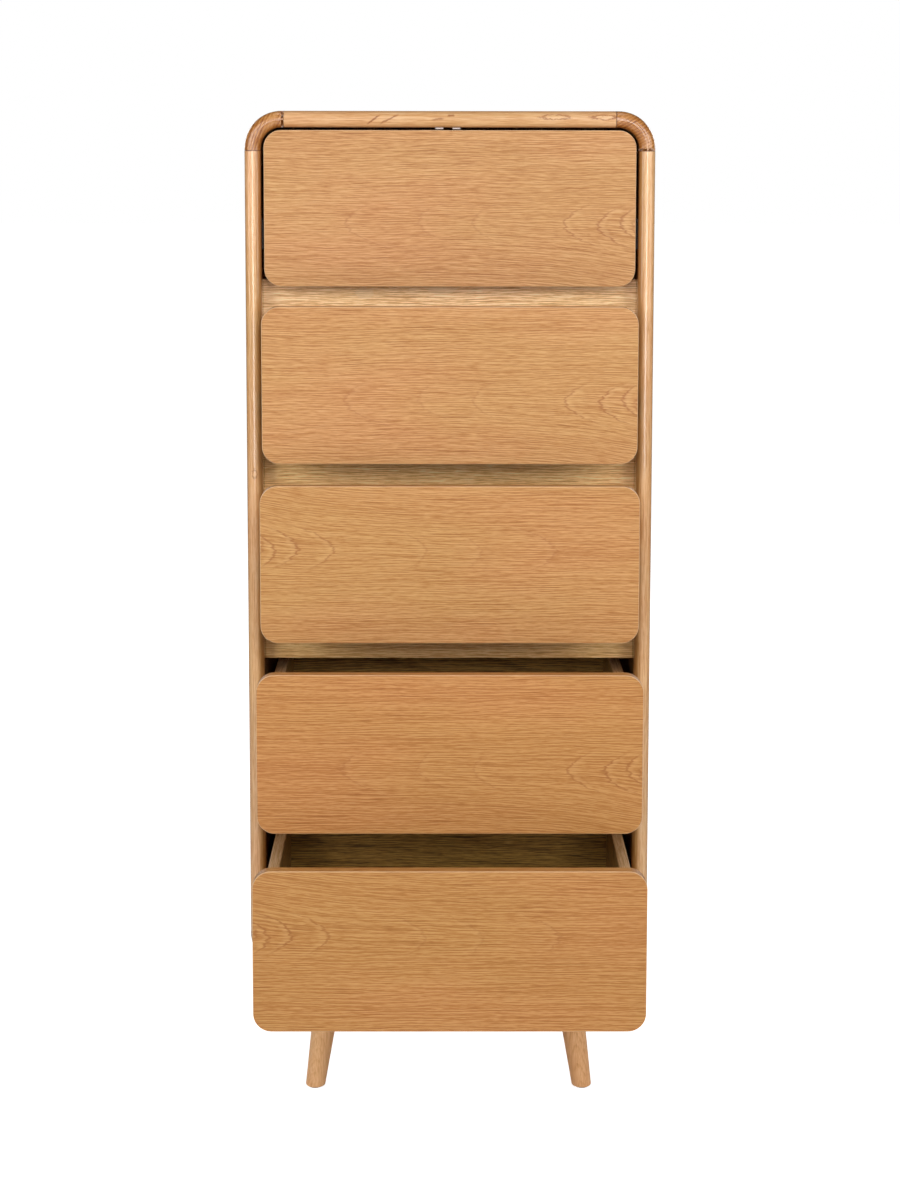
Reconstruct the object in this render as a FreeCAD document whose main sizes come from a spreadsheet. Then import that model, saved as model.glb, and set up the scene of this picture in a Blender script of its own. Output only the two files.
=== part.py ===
import FreeCAD, Part
import math
import os
import Sketcher
from FreeCAD import Placement, Rotation, Vector

# Tall chest of five drawers in oak: a rounded case on four splayed legs, with handle-less fronts that
# are pulled open through the finger gaps between them.
#
# Frame: +Z up and +X to the chest's right as seen from the front, which faces -Y. The origin is on the
# floor, under the middle of the whole object as it is stored, with its drawers staggered open.

doc = FreeCAD.newDocument("tall_chest")
sheet = doc.addObject("Spreadsheet::Sheet", "dims")


class Size:
    """A length or angle that keeps both its number and the spreadsheet expression that gives it."""

    def __init__(self, text, value):
        self.text = text
        self.value = value

    def combine(self, other, sign, number):
        other_text = other.text if isinstance(other, Size) else repr(other)
        return Size(f"({self.text} {sign} {other_text})", number)

    def __add__(self, other):
        return self.combine(other, "+", self.value + number_of(other))

    def __sub__(self, other):
        return self.combine(other, "-", self.value - number_of(other))

    def __mul__(self, other):
        return self.combine(other, "*", self.value * number_of(other))

    def __truediv__(self, other):
        return self.combine(other, "/", self.value / number_of(other))

    def __neg__(self):
        return Size(f"(-1 * {self.text})", -self.value)

    __rmul__ = __mul__


def number_of(size):
    return size.value if isinstance(size, Size) else float(size)


def dim(alias, value, meaning):
    """Writes one driving dimension on the next row of the sheet."""
    row = dim.next_row
    dim.next_row += 1
    sheet.set(f"A{row}", meaning)
    sheet.set(f"B{row}", str(value))
    sheet.setAlias(f"B{row}", alias)
    return Size(f"dims.{alias}", value)


dim.next_row = 1

# ---------------------------------------------------------------- driving dimensions (mm, degrees)

case_width = dim("case_width", 600, "case, outside width")
case_depth = dim("case_depth", 500, "case, front to back")
case_height = dim("case_height", 1292, "case, outside height")
board = dim("board", 24, "thickness of the case boards")
corner_radius = dim("corner_radius", 54, "outside radius of the case corners")
corner_block = dim("corner_block", 57.5, "size of a corner block along each side")
edge_round = dim("edge_round", 11, "rounding of the case's front edges")
rebate_width = dim("rebate_width", 10, "rebate for the back panel, across the board")
rebate_depth = dim("rebate_depth", 7, "rebate for the back panel, front to back")
back_thickness = dim("back_thickness", 6, "back panel thickness")
back_play = dim("back_play", 0.5, "play round the back panel")
joint_ease = dim("joint_ease", 0.4, "eased edges where the corner blocks meet the boards")

front_thickness = dim("front_thickness", 20, "drawer front thickness")
front_gap = dim("front_gap", 24, "finger gap between two fronts")
top_reveal = dim("top_reveal", 3.8, "gap between case and the first and last front")
side_reveal = dim("side_reveal", 4.4, "gap between case and front at each side")
front_radius = dim("front_radius", 25.5, "corner radius of a drawer front")
front_ease = dim("front_ease", 1.5, "eased edge of a drawer front")

rail_setback = dim("rail_setback", 40, "divider rail behind the face of the fronts")
rail_thickness = dim("rail_thickness", 20, "divider rail thickness")
rail_above = dim("rail_above", 8, "rail reaches above the lower edge of the front above")
rail_below = dim("rail_below", 35, "rail reaches below the upper edge of the front below")

slide_space = dim("slide_space", 12.5, "space for a slide between drawer and case")
box_side = dim("box_side", 17, "drawer side thickness")
box_back = dim("box_back", 13, "drawer back thickness")
box_bottom = dim("box_bottom", 6, "drawer bottom thickness")
box_drop = dim("box_drop", 55, "drawer side below the top of its front")
box_rise = dim("box_rise", 14, "drawer side above the bottom of its front")
box_reach = dim("box_reach", 480, "rear end of a drawer side behind the face of its front")
side_ease = dim("side_ease", 2.5, "rounding of a drawer side's upper edges")
housing = dim("housing", 8, "drawer side let into the back of the front")
groove = dim("groove", 6, "groove and dado depth in the drawer boards")
bottom_rise = dim("bottom_rise", 10, "drawer bottom above the lower edge of the drawer side")
tail = dim("tail", 5, "drawer side behind the drawer back")
back_drop = dim("back_drop", 3, "drawer back below the upper edges of the drawer sides")

slide_length = dim("slide_length", 450, "length of a drawer slide, closed")
slide_start = dim("slide_start", 24, "front end of a slide behind the face of the fronts")
slide_height = dim("slide_height", 45, "height of a slide")
slide_level = dim("slide_level", 62, "slide centre above the lower edge of the drawer side")
slide_sheet = dim("slide_sheet", 1.2, "sheet thickness of a slide member")
slide_play = dim("slide_play", 0.7, "play between the webs of two slide members")
middle_height = dim("middle_height", 38, "height of a slide's middle member")
inner_height = dim("inner_height", 29, "height of a slide's drawer member")
case_lip = dim("case_lip", 2.7, "case member's edges from the drawer side")

leg_height = dim("leg_height", 212, "underside of the case above the floor")
foot_spread = dim("foot_spread", 207, "foot centre from the middle of the case")
foot_setback = dim("foot_setback", 72, "foot centre behind the front face or before the rear face")
leg_tilt = dim("leg_tilt", 11.2, "leg's tilt outwards along the case's diagonal")
foot_radius = dim("foot_radius", 14.4, "leg radius at the floor")
leg_top_radius = dim("leg_top_radius", 25.4, "leg radius at the far end of the uncut cone")
cone_length = dim("cone_length", 280, "length of the uncut cone of a leg")
cone_start = dim("cone_start", 12, "the uncut cone starts below the floor by")
foot_ease = dim("foot_ease", 2.5, "rounding of the foot")
glide_radius = dim("glide_radius", 10.5, "glide radius")
glide_thickness = dim("glide_thickness", 1.5, "glide thickness")
plate_size = dim("plate_size", 66, "leg plate, side of the square")
plate_thickness = dim("plate_thickness", 3, "leg plate thickness")
plate_inset = dim("plate_inset", 8, "leg plate screws from the plate's edges")
bolt_radius = dim("bolt_radius", 4, "leg bolt radius")
bolt_depth = dim("bolt_depth", 36, "leg bolt, from the leg plate's upper face down")
bolt_start = dim("bolt_start", 40, "uncut bolt rod starts below the plate's upper face by")
bolt_rod = dim("bolt_rod", 56, "length of the uncut bolt rod")

dowel_radius = dim("dowel_radius", 4, "dowel radius")
dowel_length = dim("dowel_length", 40, "dowel length")
dowel_play = dim("dowel_play", 0.05, "glue gap round a dowel")
rail_dowel_depth = dim("rail_dowel_depth", 14, "rail dowel's depth in the side panel")
screw_radius = dim("screw_radius", 2, "screw shank radius")
screw_head = dim("screw_head", 4, "countersunk head radius")
screw_length = dim("screw_length", 18, "screw length")
buffer_width = dim("buffer_width", 11.5, "closing buffer width")
buffer_depth = dim("buffer_depth", 12, "closing buffer, front to back")
buffer_setback = dim("buffer_setback", 2, "closing buffer behind the face of the fronts")
buffer_height = dim("buffer_height", 2.2, "closing buffer thickness")
buffer_left = dim("buffer_left", -15.5, "first buffer's centre from the middle of the case")
buffer_right = dim("buffer_right", 9.5, "second buffer's centre from the middle of the case")

# How far each drawer stands open in the stored pose, from the top drawer down.
openings = [
    dim(f"opening_{number}", value, f"drawer {number} stands open by")
    for number, value in enumerate((0, 74, 129, 226, 322), start=1)
]

# ---------------------------------------------------------------- derived sizes and places

# Where fasteners sit, as shares of the length that they hold.
CORNER_DOWEL_PLACES = (0.1, 0.5, 0.9)
RAIL_DOWEL_PLACES = (0.25, 0.75)
UPRIGHT_SCREW_PLACES = (0.12, 0.31, 0.5, 0.69, 0.88)
LEVEL_SCREW_PLACES = (-0.4, 0.4)
# How much of a drawer's travel each member of its slides makes.
TRAVEL_SHARES = {"case": 0.0, "middle": 0.5, "drawer": 1.0}

drawer_count = len(openings)
half_width = case_width / 2
case_front = (openings[-1] - case_depth) / 2
case_back = case_front + case_depth
case_bottom = leg_height
case_top = leg_height + case_height
case_middle = leg_height + case_height / 2
inside = half_width - board
inner_radius = corner_radius - board

front_width = (inside - side_reveal) * 2
front_height = (
    case_height - board * 2 - top_reveal * 2 - front_gap * (drawer_count - 1)
) / drawer_count
box_half = inside - slide_space
box_inner = box_half - box_side
box_height = front_height - box_drop - box_rise
rail_height = front_gap + rail_above + rail_below


def front_top(index):
    """Height of the upper edge of a drawer front, counted from 0 at the top."""
    return case_top - board - top_reveal - (front_height + front_gap) * index


def box_level(index):
    """Height of the lower edge of a drawer's sides."""
    return front_top(index) - front_height + box_rise


# ---------------------------------------------------------------- tools for building features

nodes = {}
SAME = 1e-6


def keep(label, piece):
    """Registers a finished sub-part under the name that its file and node take."""
    piece.Label = label
    nodes[label] = piece
    return piece


def bind(target, name, size):
    """Sets a property from a size, and binds it to the sheet where the size comes from it."""
    if isinstance(size, Size):
        target.setExpression(name, size.text)
    else:
        setattr(target, name, size)


def place(piece, position, axis=Vector(0, 0, 1), angle=0.0):
    """Puts a piece at a position (three sizes), turned about an axis by an angle."""
    numbers = [number_of(value) for value in position]
    piece.Placement = Placement(Vector(*numbers), Rotation(axis, number_of(angle)))
    for letter, value in zip("xyz", position):
        if isinstance(value, Size):
            piece.setExpression(f"Placement.Base.{letter}", value.text)
    if isinstance(angle, Size):
        piece.setExpression("Placement.Rotation.Angle", angle.text)
    return piece


def box(name, low, size):
    """A rectangular board from its lowest corner and its three sizes."""
    piece = doc.addObject("Part::Box", name)
    for side, value in zip(("Length", "Width", "Height"), size):
        bind(piece, side, value)
    return place(piece, low)


def rod(name, radius, length, position, axis=Vector(0, 0, 1), angle=0.0):
    piece = doc.addObject("Part::Cylinder", name)
    bind(piece, "Radius", radius)
    bind(piece, "Height", length)
    return place(piece, position, axis, angle)


def cut(name, base, *tools):
    """Takes one or more tools away from a base, one after the other."""
    for number, tool in enumerate(tools, start=1):
        result = doc.addObject("Part::Cut", f"{name}_cut{number}")
        result.Base = base
        result.Tool = tool
        base = result
    return base


def group(name, pieces):
    compound = doc.addObject("Part::Compound", name)
    compound.Links = pieces
    return compound


def rounded(name, base, radius, wanted):
    """Rounds the edges of a base that the test picks."""
    doc.recompute()
    fillet = doc.addObject("Part::Fillet", name)
    fillet.Base = base
    amount = number_of(radius)
    fillet.Edges = [
        (number, amount, amount)
        for number, edge in enumerate(base.Shape.Edges, start=1)
        if wanted(edge)
    ]
    return fillet


def new_body(name):
    return doc.addObject("PartDesign::Body", name)


def outline(body, plane_role, points, arcs=None):
    """Draws a closed outline on an origin plane, each of its points held by the sheet.

    points is a list of (across, up) sizes. arcs maps the number of a segment, which runs from the point
    of that number to the next, to (radius, turn), where turn is 1 for anticlockwise and -1 for clockwise.
    """
    arcs = arcs or {}
    sketch = body.newObject("Sketcher::SketchObject", f"{body.Name}_outline")
    plane = next(item for item in body.Origin.OriginFeatures if item.Role == plane_role)
    sketch.AttachmentSupport = (plane, [""])
    sketch.MapMode = "FlatFace"
    corners = [Vector(number_of(across), number_of(up), 0) for across, up in points]
    starts = {}
    for number, start in enumerate(corners):
        finish = corners[(number + 1) % len(corners)]
        if number in arcs:
            radius, turn = arcs[number]
            starts[number] = add_arc(sketch, number, start, finish, number_of(radius), turn)
            datum = sketch.addConstraint(
                Sketcher.Constraint("Radius", number, number_of(radius))
            )
            sketch.setExpression(f"Constraints[{datum}]", radius.text)
        else:
            sketch.addGeometry(Part.LineSegment(start, finish), False)
            starts[number] = 1
    for number in range(len(corners)):
        after = (number + 1) % len(corners)
        end = 3 - starts[number]
        sketch.addConstraint(
            Sketcher.Constraint("Coincident", number, end, after, starts[after])
        )
        hold_point(sketch, number, starts[number], points[number])
    return sketch


def add_arc(sketch, number, start, finish, radius, turn):
    """Adds an arc between two points, and says which of its ends is the start: 1 or 2."""
    middle = (start + finish) * 0.5
    chord = finish - start
    rise = math.sqrt(max(radius**2 - (chord.Length / 2) ** 2, 0))
    side = Vector(-chord.y, chord.x, 0).normalize() * (turn * rise)
    centre = middle + side
    first, last = (start, finish) if turn > 0 else (finish, start)
    angles = [math.atan2(p.y - centre.y, p.x - centre.x) for p in (first, last)]
    circle = Part.Circle(centre, Vector(0, 0, 1), radius)
    sketch.addGeometry(Part.ArcOfCircle(circle, angles[0], angles[1]), False)
    return 1 if turn > 0 else 2


def hold_point(sketch, number, end, point):
    """Holds the end of a segment at its two sizes from the sketch's origin."""
    for kind, axis, size in zip(("DistanceX", "DistanceY"), (-2, -1), point):
        value = number_of(size)
        if abs(value) < SAME:
            sketch.addConstraint(Sketcher.Constraint("PointOnObject", number, end, axis))
            continue
        datum = sketch.addConstraint(Sketcher.Constraint(kind, -1, 1, number, end, value))
        if isinstance(size, Size):
            sketch.setExpression(f"Constraints[{datum}]", size.text)


def pad(body, sketch, length, reverse=False, both_ways=False):
    feature = body.newObject("PartDesign::Pad", f"{body.Name}_pad")
    feature.Profile = sketch
    feature.Reversed = reverse
    feature.SideType = "Symmetric" if both_ways else "One side"
    bind(feature, "Length", length)
    sketch.Visibility = False
    body.Tip = feature
    return feature


def ease(body, feature, kind, amount, wanted):
    """Eases the edges of a body's last feature that the test picks, with a Fillet or a Chamfer."""
    doc.recompute()
    names = [
        f"Edge{number}"
        for number, edge in enumerate(feature.Shape.Edges, start=1)
        if wanted(edge)
    ]
    eased = body.newObject(f"PartDesign::{kind}", f"{body.Name}_eased")
    eased.Base = (feature, names)
    bind(eased, "Radius" if kind == "Fillet" else "Size", amount)
    body.Tip = eased
    return eased


def runs_along(edge, direction):
    """True for an edge that keeps to one line along a direction."""
    first, last = (vertex.Point for vertex in edge.Vertexes[:1] + edge.Vertexes[-1:])
    along = last - first
    return along.Length > SAME and along.normalize().cross(direction).Length < SAME


def lies_at(low, high, place):
    """True for an edge whose extent along an axis is one place on it."""
    return abs(low - place) < SAME and abs(high - place) < SAME


# ---------------------------------------------------------------- case


def board_profile(outer):
    """Section of a case board: outer face at -outer, rounded at the front, rebated at the back."""
    face = -outer
    points = [
        (face, edge_round),
        (face + edge_round, 0),
        (face + board - edge_round, 0),
        (face + board, edge_round),
        (face + board, case_depth - rebate_depth),
        (face + board - rebate_width, case_depth - rebate_depth),
        (face + board - rebate_width, case_depth),
        (face, case_depth),
    ]
    return points, {0: (edge_round, 1), 2: (edge_round, 1)}


def case_board(label, outer, length, quarter_turns):
    """A straight board of the case: left at 0 quarter turns, then top, right and bottom."""
    body = new_body(label)
    points, arcs = board_profile(outer)
    sketch = outline(body, "XY_Plane", points, arcs)
    blank = pad(body, sketch, length, both_ways=True)
    end = number_of(length) / 2
    ease(
        body, blank, "Chamfer", joint_ease,
        lambda edge: lies_at(abs(edge.BoundBox.ZMin), abs(edge.BoundBox.ZMax), end),
    )
    return place(body, (0, case_front, case_middle), Vector(0, 1, 0), 90.0 * quarter_turns)


def corner_piece(label, side, height, quarter_turns):
    """A corner block: the board's section turned by a quarter, with a short straight stub at each end."""
    body = new_body(label)
    points, arcs = board_profile(corner_radius)
    sketch = outline(body, "XY_Plane", points, arcs)
    turn = body.newObject("PartDesign::Revolution", f"{body.Name}_turn")
    turn.Profile = sketch
    turn.ReferenceAxis = (sketch, ["V_Axis"])
    turn.Angle = 90
    stub = corner_block - corner_radius
    pad(body, sketch, stub, reverse=True)
    upright = [(up, -across) for across, up in points]
    clockwise = {number: (radius, -way) for number, (radius, way) in arcs.items()}
    second = outline(body, "YZ_Plane", upright, clockwise)
    blank = pad(body, second, stub)
    end = number_of(stub)
    ease(
        body, blank, "Chamfer", joint_ease,
        lambda edge: lies_at(edge.BoundBox.ZMin, edge.BoundBox.ZMax, -end)
        or lies_at(edge.BoundBox.XMin, edge.BoundBox.XMax, end),
    )
    return place(body, (side, case_front, height), Vector(0, 1, 0), 90.0 * quarter_turns)


def dowel_pair(name, radius, length, position, axis, angle):
    """A dowel and the slightly wider hole that holds it."""
    dowel = rod(name, radius, length, position, axis, angle)
    hole = rod(f"{name}_hole", radius + dowel_play, length, position, axis, angle)
    return dowel, hole


def case_dowels():
    """All the dowels of the case, and their holes: three at each corner joint, two at each rail end."""
    dowels, holes = [], []

    def add(position, axis, angle):
        name = f"dowel_{len(dowels) + 1}"
        dowel, hole = dowel_pair(name, dowel_radius, dowel_length, position, axis, angle)
        dowels.append(dowel)
        holes.append(hole)

    across = Vector(0, 1, 0)
    for share in CORNER_DOWEL_PLACES:
        depth = case_front + case_depth * share
        for side in (-1, 1):
            middle_of_board = (half_width - board / 2) * side
            for height in (case_bottom + corner_block, case_top - corner_block):
                add((middle_of_board, depth, height - dowel_length / 2), across, 0.0)
            joint = (half_width - corner_block) * side
            for height in (case_bottom + board / 2, case_top - board / 2):
                add((joint - dowel_length / 2, depth, height), across, 90.0)
    for index in range(1, drawer_count):
        top = front_top(index) + front_gap + rail_above
        for share in RAIL_DOWEL_PLACES:
            height = top - rail_height * share
            depth = case_front + rail_setback + rail_thickness / 2
            add((-inside - rail_dowel_depth, depth, height), across, 90.0)
            add((inside + rail_dowel_depth - dowel_length, depth, height), across, 90.0)
    return dowels, group("dowel_holes", holes)


def screw(name, position, axis, angle):
    """A countersunk screw: its head's face at the position, its shank along the turned +Z."""
    head = doc.addObject("Part::Cone", f"{name}_head")
    bind(head, "Radius1", screw_head)
    bind(head, "Radius2", screw_radius)
    bind(head, "Height", screw_radius)
    shank = rod(f"{name}_shank", screw_radius, screw_length, (0, 0, 0))
    whole = doc.addObject("Part::Fuse", name)
    whole.Base = head
    whole.Tool = shank
    return place(whole, position, axis, angle)


def back_screws():
    """Screws through the back panel into the rebates of the case."""
    line = rebate_width / 2
    face = case_back - rebate_depth + back_thickness
    places = []
    for share in UPRIGHT_SCREW_PLACES:
        for side in (-1, 1):
            places.append(((inside + line) * side, face, case_bottom + case_height * share))
    for share in LEVEL_SCREW_PLACES:
        for height in (case_bottom + board - line, case_top - board + line):
            places.append((half_width * share, face, height))
    toward_front = Vector(1, 0, 0)
    return [
        screw(f"back_screw_{number}", position, toward_front, 90.0)
        for number, position in enumerate(places, start=1)
    ]


def back_panel():
    """The back: a thin panel with round corners that lies in the rebate all round the case."""
    half = inside + rebate_width - back_play
    tall = case_height / 2 - board + rebate_width - back_play
    radius = inner_radius + rebate_width - back_play
    body = new_body("back_board")
    points = [
        (-half + radius, -tall),
        (half - radius, -tall),
        (half, -tall + radius),
        (half, tall - radius),
        (half - radius, tall),
        (-half + radius, tall),
        (-half, tall - radius),
        (-half, -tall + radius),
    ]
    sketch = outline(body, "XZ_Plane", points, {n: (radius, 1) for n in (1, 3, 5, 7)})
    pad(body, sketch, back_thickness, reverse=True)
    return place(body, (0, case_back - rebate_depth, case_middle))


def divider_rail(index):
    """The rail behind the gap above the front of this index."""
    low = (-inside, case_front + rail_setback, front_top(index) - rail_below)
    return box(f"rail_{index}", low, (inside * 2, rail_thickness, rail_height))


def closing_buffer(name, centre):
    """A pad under the top board that keeps the gap above the top drawer's front."""
    low = (centre - buffer_width / 2, case_front + buffer_setback, case_top - board - buffer_height)
    return box(name, low, (buffer_width, buffer_depth, buffer_height))


# ---------------------------------------------------------------- legs

leg_corners = [
    (f"{row}_{side}", sign_x, sign_y)
    for row, sign_y in (("front", -1), ("rear", 1))
    for side, sign_x in (("left", -1), ("right", 1))
]


def foot_place(sign_x, sign_y):
    if sign_y < 0:
        return foot_spread * sign_x, case_front + foot_setback
    return foot_spread * sign_x, case_back - foot_setback


def leg_axis_at(sign_x, sign_y, height):
    """Where the leg's axis is at a height above the floor."""
    foot_x, foot_y = foot_place(sign_x, sign_y)
    lean = math.tan(math.radians(leg_tilt.value)) / math.sqrt(2)
    return foot_x - height * (lean * sign_x), foot_y - height * (lean * sign_y)


def leg_set(name, sign_x, sign_y):
    """One leg's parts: the turned leg, its plate, its bolt and its glide."""
    foot_x, foot_y = foot_place(sign_x, sign_y)
    tilt_axis = Vector(sign_y, -sign_x, 0)
    cone = doc.addObject("Part::Cone", f"{name}_cone")
    bind(cone, "Radius1", foot_radius)
    bind(cone, "Radius2", leg_top_radius)
    bind(cone, "Height", cone_length)
    start_x, start_y = leg_axis_at(sign_x, sign_y, -cone_start)
    place(cone, (start_x, start_y, -cone_start), tilt_axis, leg_tilt)
    span = plate_size * 3
    plate_under = leg_height - plate_thickness
    slab_low = (foot_x - span / 2, foot_y - span / 2, glide_thickness)
    slab = box(f"{name}_slab", slab_low, (span, span, plate_under - glide_thickness))
    blank = doc.addObject("Part::Common", f"{name}_blank")
    blank.Base = cone
    blank.Tool = slab
    near_foot = number_of(glide_thickness + foot_ease)
    leg = rounded(
        f"{name}_leg", blank, foot_ease, lambda edge: edge.BoundBox.ZMax < near_foot
    )

    bolt_low = leg_height - bolt_start
    bolt_x, bolt_y = leg_axis_at(sign_x, sign_y, bolt_low)
    shaft_low = (bolt_x, bolt_y, bolt_low)
    shaft = rod(f"{name}_shaft", bolt_radius, bolt_rod, shaft_low, tilt_axis, leg_tilt)
    trim_low = (foot_x - span / 2, foot_y - span / 2, leg_height - bolt_depth)
    trim = box(f"{name}_trim", trim_low, (span, span, bolt_depth))
    bolt = doc.addObject("Part::Common", f"{name}_bolt")
    bolt.Base = shaft
    bolt.Tool = trim

    top_x, top_y = leg_axis_at(sign_x, sign_y, leg_height)
    corner = (top_x - plate_size / 2, top_y - plate_size / 2, plate_under)
    plate = box(f"{name}_plate", corner, (plate_size, plate_size, plate_thickness))
    from_axis = plate_size / 2 - plate_inset
    screw_places = [
        (top_x + from_axis * across, top_y + from_axis * deep, plate_under)
        for across in (-1, 1)
        for deep in (-1, 1)
    ]
    screws = [
        screw(f"{name}_screw_{number}", position, Vector(0, 0, 1), 0.0)
        for number, position in enumerate(screw_places, start=1)
    ]
    glide = rod(f"{name}_glide", glide_radius, glide_thickness, (foot_x, foot_y, 0))
    return leg, plate, bolt, screws, glide


# ---------------------------------------------------------------- drawers


def drawer_front(name, index, face):
    """A front: a board with round corners and eased edges, upright in its body's XZ plane."""
    half = front_width / 2
    body = new_body(name)
    points = [
        (-half + front_radius, -front_height),
        (half - front_radius, -front_height),
        (half, front_radius - front_height),
        (half, -front_radius),
        (half - front_radius, 0),
        (-half + front_radius, 0),
        (-half, -front_radius),
        (-half, front_radius - front_height),
    ]
    corners = {number: (front_radius, 1) for number in (1, 3, 5, 7)}
    sketch = outline(body, "XZ_Plane", points, corners)
    blank = pad(body, sketch, front_thickness, reverse=True)
    ease(body, blank, "Fillet", front_ease, lambda edge: edge.BoundBox.YLength < SAME)
    return place(body, (0, face, front_top(index)))


def drawer_side(name, sign, index, face):
    """A drawer side with round upper edges, from its housing in the front to its rear end."""
    start = front_thickness - housing
    low_x = box_inner if sign > 0 else -box_half
    blank = box(
        name,
        (low_x, face + start, box_level(index)),
        (box_side, box_reach - start, box_height),
    )
    top = number_of(box_level(index) + box_height)
    along = Vector(0, 1, 0)
    return rounded(
        f"{name}_rounded",
        blank,
        side_ease,
        lambda edge: runs_along(edge, along) and abs(edge.BoundBox.ZMax - top) < SAME,
    )


def drawer(index):
    """The five boards of one drawer, jointed with housings, dados and a groove for the bottom."""
    number = index + 1
    name = f"drawer_{number}"
    face = case_front - openings[index]
    back_face = face + box_reach - tail
    level = box_level(index)
    wide = (box_inner + groove) * 2

    bottom = box(
        f"{name}_floor",
        (-wide / 2, face + front_thickness - groove, level + bottom_rise),
        (wide, back_face - (face + front_thickness - groove), box_bottom),
    )
    back_low = level + bottom_rise + box_bottom
    back = box(
        f"{name}_rear",
        (-wide / 2, back_face - box_back, back_low),
        (wide, box_back, level + box_height - back_drop - back_low),
    )
    sides = {}
    for side, sign in (("left", -1), ("right", 1)):
        plain = drawer_side(f"{name}_{side}", sign, index, face)
        sides[side] = plain
        grooved = cut(f"{name}_{side}_grooved", plain, bottom, back)
        keep(f"{name}_{side}_side", grooved)
    front = drawer_front(f"{name}_face", index, face)
    housed = cut(f"{name}_front_housed", front, sides["left"], sides["right"], bottom)
    keep(f"{name}_front", housed)
    keep(f"{name}_back", back)
    keep(f"{name}_bottom", bottom)


def channel(name, web_x, open_way, depth, height, position):
    """A slide member: a C section that opens to +X (1) or -X (-1), running along Y."""
    body = new_body(name)
    half = height / 2
    inner = half - slide_sheet
    points = [
        (web_x, -half),
        (web_x + depth * open_way, -half),
        (web_x + depth * open_way, -inner),
        (web_x + slide_sheet * open_way, -inner),
        (web_x + slide_sheet * open_way, inner),
        (web_x + depth * open_way, inner),
        (web_x + depth * open_way, half),
        (web_x, half),
    ]
    sketch = outline(body, "XZ_Plane", points)
    pad(body, sketch, slide_length, reverse=True)
    return place(body, position)


def slide_pair(index, member):
    """One member of the slides at both sides of a drawer: case, middle or drawer member."""
    number = index + 1
    height = box_level(index) + slide_level
    start = case_front + slide_start - openings[index] * TRAVEL_SHARES[member]
    middle_depth = slide_space - slide_sheet - slide_play * 3
    members = []
    for side, sign in (("left", -1), ("right", 1)):
        name = f"slide_{number}_{side}_{member}"
        wall = inside * sign
        if member == "case":
            size = (slide_space - case_lip, slide_height)
            members.append(channel(name, wall, -sign, *size, (0, start, height)))
        elif member == "middle":
            web = wall - (slide_sheet + slide_play) * sign
            size = (middle_depth, middle_height)
            members.append(channel(name, web, -sign, *size, (0, start, height)))
        else:
            web = box_half * sign
            size = (slide_space - slide_sheet * 2 - slide_play * 2, inner_height)
            members.append(channel(name, web, sign, *size, (0, start, height)))
    return members


# ---------------------------------------------------------------- assembly

dowels, dowel_holes = case_dowels()
legs = {name: leg_set(name, sign_x, sign_y) for name, sign_x, sign_y in leg_corners}
plate_screws = [piece for parts in legs.values() for piece in parts[3]]
panel_screws = back_screws()
plate_screw_group = group("plate_screws", plate_screws)
panel_screw_group = group("panel_screws", panel_screws)

long_board = case_height - corner_block * 2
short_board = case_width - corner_block * 2
boards = [
    ("left_side_panel", half_width, long_board, 0, [dowel_holes, panel_screw_group]),
    ("top_panel", case_height / 2, short_board, 1, [dowel_holes, panel_screw_group]),
    ("right_side_panel", half_width, long_board, 2, [dowel_holes, panel_screw_group]),
    ("bottom_panel", case_height / 2, short_board, 3,
     [dowel_holes, panel_screw_group, plate_screw_group]),
]
for label, outer, length, quarter_turns, tools in boards:
    blank = case_board(f"{label}_blank", outer, length, quarter_turns)
    keep(label, cut(label, blank, *tools))

arc_x = half_width - corner_radius
arc_low = case_bottom + corner_radius
arc_high = case_top - corner_radius
corners = [
    ("corner_block_top_left", -arc_x, arc_high, 0),
    ("corner_block_top_right", arc_x, arc_high, 1),
    ("corner_block_bottom_right", arc_x, arc_low, 2),
    ("corner_block_bottom_left", -arc_x, arc_low, 3),
]
for label, side, height, quarter_turns in corners:
    blank = corner_piece(f"{label}_blank", side, height, quarter_turns)
    keep(label, cut(label, blank, dowel_holes))

keep("back_panel", cut("back_panel", back_panel(), panel_screw_group))
for index in range(1, drawer_count):
    rail = divider_rail(index)
    keep(f"divider_rail_{index}", cut(f"divider_rail_{index}", rail, dowel_holes))
keep("case_dowels", group("case_dowels_group", dowels))
keep("back_panel_screws", panel_screw_group)
buffers = [closing_buffer("buffer_a", buffer_left), closing_buffer("buffer_b", buffer_right)]
keep("closing_buffers", group("closing_buffers_group", buffers))

for name, (leg, plate, bolt, screws, glide) in legs.items():
    keep(f"leg_{name}", cut(f"leg_{name}", leg, bolt))
plates = [
    cut(f"{name}_drilled", plate, bolt, group(f"{name}_plate_screws", screws))
    for name, (leg, plate, bolt, screws, glide) in legs.items()
]
keep("leg_plates", group("leg_plates_group", plates))
keep("leg_bolts", group("leg_bolts_group", [parts[2] for parts in legs.values()]))
keep("leg_plate_screws", plate_screw_group)
keep("foot_glides", group("foot_glides_group", [parts[4] for parts in legs.values()]))

case_members = []
for index in range(drawer_count):
    drawer(index)
    number = index + 1
    case_members += slide_pair(index, "case")
    for member in ("middle", "drawer"):
        pair = slide_pair(index, member)
        keep(f"slide_{number}_{member}_members", group(f"slide_{number}_{member}_pair", pair))
keep("slide_case_members", group("slide_case_members_group", case_members))

# ---------------------------------------------------------------- checks and export

doc.recompute()
failed = [
    item.Name for item in doc.Objects if "Invalid" in item.State or "Error" in item.State
]
if failed:
    raise SystemExit(f"failed features: {failed}")
for label, piece in nodes.items():
    shape = piece.Shape
    if shape.isNull() or not shape.isValid() or not shape.Solids:
        raise SystemExit(f"{label} has no valid solid")

os.makedirs("parts", exist_ok=True)
for label, piece in nodes.items():
    piece.Shape.exportStep(f"parts/{label}.step")
print(f"{len(nodes)} nodes written")
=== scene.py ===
import math

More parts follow.
